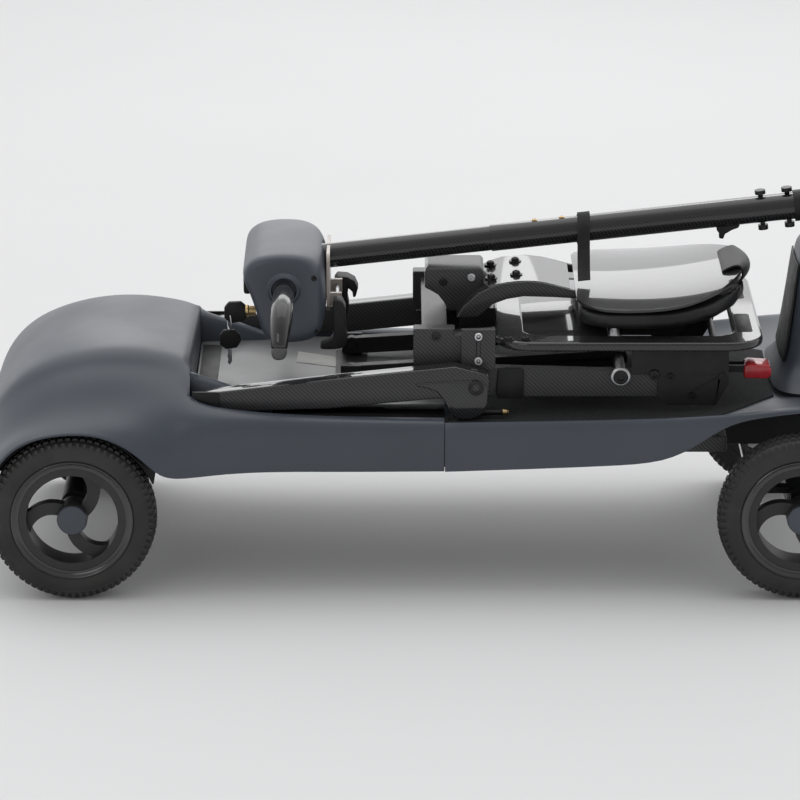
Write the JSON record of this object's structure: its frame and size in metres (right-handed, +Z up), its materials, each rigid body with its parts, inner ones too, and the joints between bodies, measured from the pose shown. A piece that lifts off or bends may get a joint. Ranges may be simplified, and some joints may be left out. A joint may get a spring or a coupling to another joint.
{
  "type": "mobility scooter",
  "caption": "Folding four-wheel mobility scooter, folded flat: slate shells over a carbon chassis, tiller laid back over a lift-up seat frame with its backrest folded down.",
  "frame": {"origin": "on the ground, midway between the axles and on the centre plane", "axes": "+X forward, +Y to the rider's left, +Z up"},
  "size_m": [1.09, 0.47, 0.4478],
  "materials": {
    "slate_shell": "satin",
    "carbon": "gloss",
    "black_metal": "satin",
    "black_plastic": "matte",
    "tyre_rubber": "matte",
    "rim_black": "satin",
    "steel": "satin",
    "grey_panel": "satin",
    "mat_rubber": "matte",
    "pad_vinyl": "satin",
    "strap_web": "matte",
    "red_plastic": "gloss",
    "grip_rubber": "matte",
    "light_plate": "satin"
  },
  "bodies": {
    "chassis": {"chassis_pan": "carbon", "front_subframe": "black_metal", "column_tube": "black_metal", "column_bearings": "steel", "front_axle_beam": "black_metal", "axle_housing": "black_metal", "drive_motor": "black_metal", "battery_pack": "black_plastic", "motor_controller": "black_plastic", "rear_hood": "slate_shell", "rear_skirts": "slate_shell", "front_shell": "slate_shell", "deck_mat": "mat_rubber", "floor_panel": "grey_panel", "front_cowl": "slate_shell", "front_fender": "slate_shell", "arm_brackets": "black_metal", "link_bracket": "black_metal"},
    "steering_column": {"steering_stem": "steel", "hinge_fork": "black_metal", "hinge_pin": "steel"},
    "tiller": {"tiller_tube": "carbon", "hinge_block": "black_metal", "tiller_bolts": "steel", "tiller_strap": "strap_web", "control_head": "slate_shell", "head_plate": "light_plate", "handles": "carbon", "handle_caps": "grip_rubber"},
    "throttle": {"throttle_lever": "black_plastic"},
    "key": {"ignition_key": "black_plastic", "key_ring": "steel"},
    "horn": {"horn_button": "red_plastic"},
    "dial": {"speed_dial": "black_plastic"},
    "lift_arms": {"lift_arm_left": "carbon", "lift_arm_right": "carbon", "stop_bolts": "steel"},
    "front_links": {"front_link": "black_metal"},
    "seat": {"carrier_left": "carbon", "carrier_right": "carbon", "link_shaft": "steel", "link_plates": "carbon", "latch_plates": "black_metal", "seat_crossmember": "carbon", "seat_tray": "carbon", "backrest_bracket": "black_metal", "backrest_pad": "pad_vinyl", "backrest_shell": "carbon"},
    "latch": {"seat_latch": "red_plastic"},
    "left_knuckle": {"knuckle_left": "black_metal"},
    "right_knuckle": {"knuckle_right": "black_metal"},
    "tie_rod": {"tie_rod": "black_metal"},
    "wheel_front_left": {"tyre_front_left": "tyre_rubber", "rim_front_left": "rim_black"},
    "wheel_front_right": {"tyre_front_right": "tyre_rubber", "rim_front_right": "rim_black"},
    "wheel_rear_left": {"tyre_rear_left": "tyre_rubber", "rim_rear_left": "rim_black"},
    "wheel_rear_right": {"tyre_rear_right": "tyre_rubber", "rim_rear_right": "rim_black"}
  },
  "joints": [
    {"name": "steer", "type": "hinge", "parent": "chassis", "child": "steering_column", "pos_m": [0.49, 0, 0.3], "axis": [0, 0, 1], "range_deg": [-20, 20]},
    {"name": "tiller_fold", "type": "hinge", "parent": "steering_column", "child": "tiller", "pos_m": [0.518, 0, 0.4316], "axis": [0, 1, 0], "range_deg": [0, 84]},
    {"name": "seat_lift", "type": "hinge", "parent": "chassis", "child": "lift_arms", "pos_m": [-0.2748, 0, 0.225], "axis": [0, -1, 0], "range_deg": [0, 67.2]},
    {"name": "front_link_lift", "type": "hinge", "parent": "chassis", "child": "front_links", "pos_m": [-0.103, 0, 0.23], "axis": [0, -1, 0], "range_deg": [0, 67.2]},
    {"name": "seat_level", "type": "hinge", "parent": "lift_arms", "child": "seat", "pos_m": [0.046, 0, 0.245], "axis": [0, -1, 0], "range_deg": [-67.2, 0]},
    {"name": "latch_pull", "type": "hinge", "parent": "seat", "child": "latch", "pos_m": [0.338, 0, 0.25], "axis": [0, -1, 0], "range_deg": [0, 20], "stiffness_Nm_per_rad": 0.5, "springref_deg": -17.19},
    {"name": "throttle_rock", "type": "hinge", "parent": "tiller", "child": "throttle", "pos_m": [-0.12, 0, 0.314], "axis": [0, 1, 0], "range_deg": [-15, 15], "stiffness_Nm_per_rad": 0.5},
    {"name": "key_turn", "type": "hinge", "parent": "tiller", "child": "key", "pos_m": [-0.235, -0.02, 0.296], "axis": [1, 0, 0], "range_deg": [0, 60]},
    {"name": "horn_press", "type": "slide", "parent": "tiller", "child": "horn", "axis": [1, 0, 0], "range_m": [0, 0.0025], "stiffness_N_per_m": 400, "springref_m": -0.001},
    {"name": "dial_turn", "type": "hinge", "parent": "tiller", "child": "dial", "pos_m": [-0.235, -0.048, 0.338], "axis": [1, 0, 0], "range_deg": [0, 270]},
    {"name": "left_knuckle_turn", "type": "hinge", "parent": "chassis", "child": "left_knuckle", "pos_m": [0.43, 0.16, 0.1], "axis": [0, 0, 1], "range_deg": [-20, 20]},
    {"name": "right_knuckle_turn", "type": "hinge", "parent": "chassis", "child": "right_knuckle", "pos_m": [0.43, -0.16, 0.1], "axis": [0, 0, 1], "range_deg": [-20, 20]},
    {"name": "tie_rod_turn", "type": "hinge", "parent": "left_knuckle", "child": "tie_rod", "pos_m": [0.375, 0.16, 0.125], "axis": [0, 0, 1], "range_deg": [-20, 20]},
    {"name": "wheel_front_left_spin", "type": "hinge", "parent": "left_knuckle", "child": "wheel_front_left", "pos_m": [0.43, 0.2125, 0.1], "axis": [0, 1, 0], "continuous": true},
    {"name": "wheel_front_right_spin", "type": "hinge", "parent": "right_knuckle", "child": "wheel_front_right", "pos_m": [0.43, -0.2125, 0.1], "axis": [0, 1, 0], "continuous": true},
    {"name": "wheel_rear_left_spin", "type": "hinge", "parent": "chassis", "child": "wheel_rear_left", "pos_m": [-0.43, 0.2125, 0.1], "axis": [0, 1, 0], "continuous": true},
    {"name": "wheel_rear_right_spin", "type": "hinge", "parent": "chassis", "child": "wheel_rear_right", "pos_m": [-0.43, -0.2125, 0.1], "axis": [0, 1, 0], "continuous": true}
  ],
  "couplings": [
    {"joint": "tiller_fold", "follows": "seat_lift", "ratio": 1.25},
    {"joint": "front_link_lift", "follows": "seat_lift", "ratio": 1},
    {"joint": "seat_level", "follows": "seat_lift", "ratio": -1},
    {"joint": "left_knuckle_turn", "follows": "steer", "ratio": 1},
    {"joint": "right_knuckle_turn", "follows": "steer", "ratio": 1},
    {"joint": "tie_rod_turn", "follows": "steer", "ratio": -1}
  ]
}
